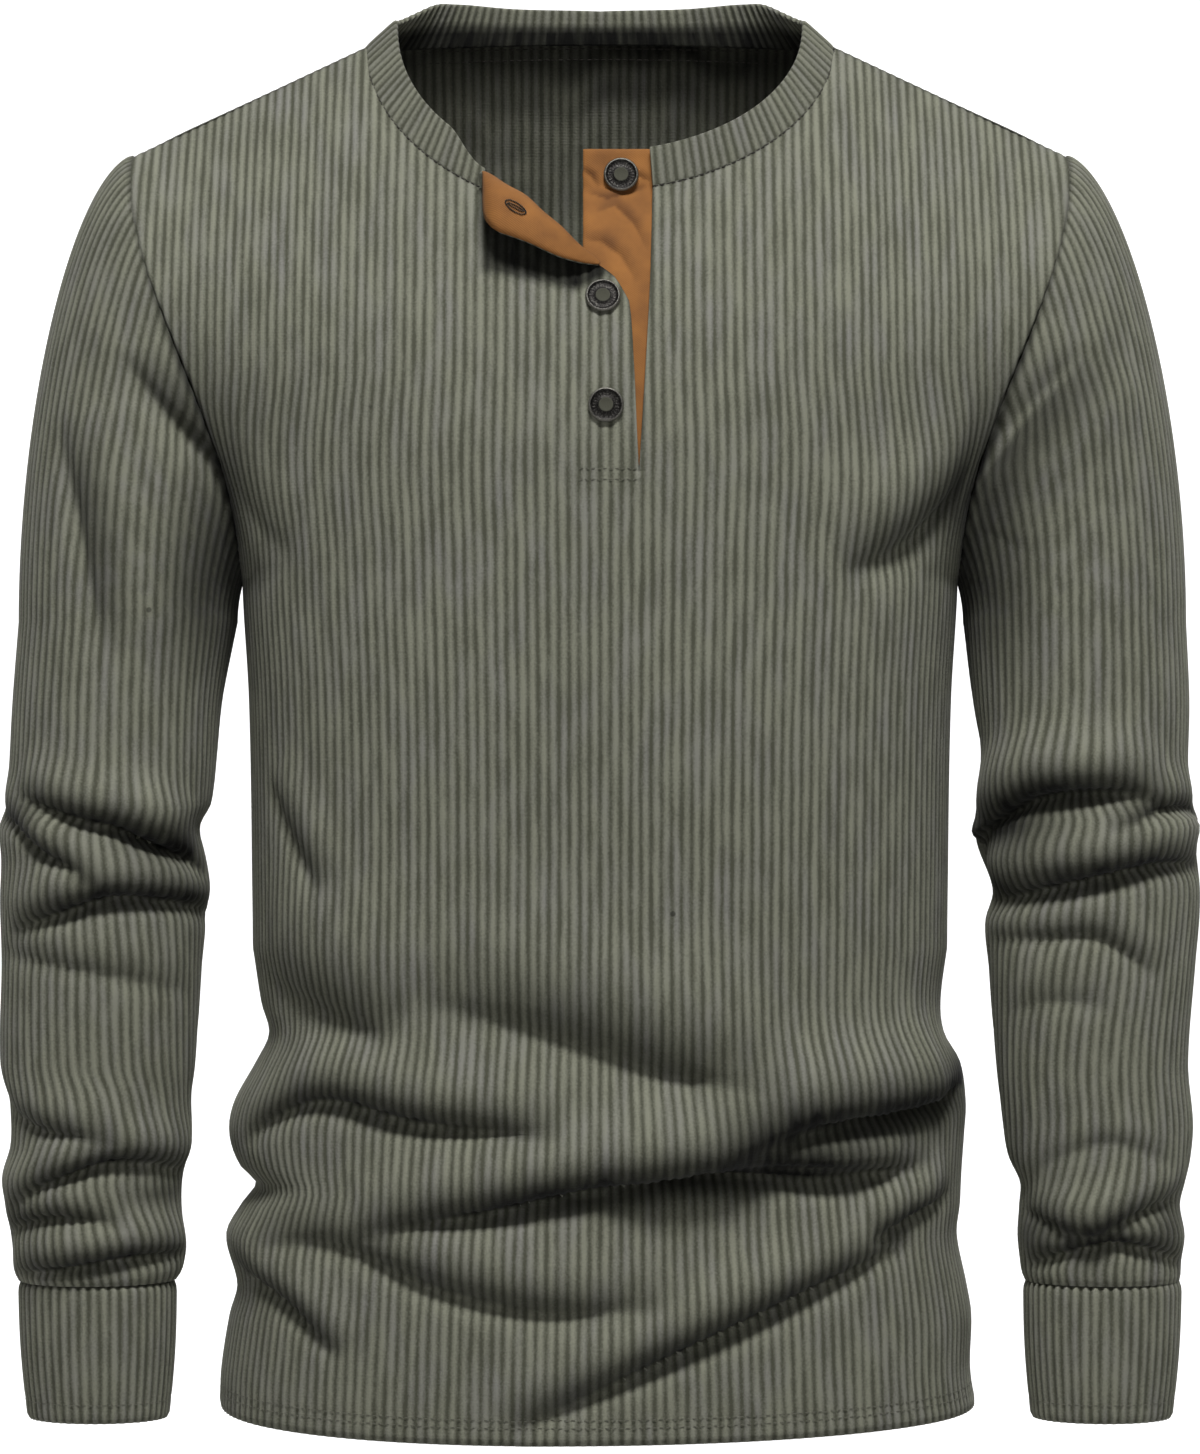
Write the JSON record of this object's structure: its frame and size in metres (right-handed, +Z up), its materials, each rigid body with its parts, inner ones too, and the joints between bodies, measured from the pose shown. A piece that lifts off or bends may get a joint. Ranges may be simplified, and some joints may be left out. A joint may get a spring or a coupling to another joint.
{
  "type": "henley shirt",
  "caption": "Long-sleeved henley shirt of ribbed grey-green knit with an orange-brown placket facing, metal buttons and ribbed cuffs, filled out as worn",
  "frame": {"origin": "middle of the neck opening, level with the inner ends of the shoulder seams, where the shirt hangs from the wearer's neck and shoulders", "axes": "+Z up the body, the front faces -Y, the wearer's left side is on +X"},
  "size_m": [0.6271, 0.2322, 0.749],
  "materials": {
    "knit": "ribbed knit, matte",
    "facing": "matte",
    "button_metal": "dark bronze, satin"
  },
  "bodies": {
    "root": {"front": "knit", "back": "knit", "sleeve_right": "knit", "sleeve_left": "knit", "cuff_right": "knit", "cuff_left": "knit", "neckband": "knit", "placket_stand": "facing", "placket_facing": "facing", "button_top": "button_metal", "button_middle": "button_metal", "button_bottom": "button_metal"}
  },
  "joints": []
}
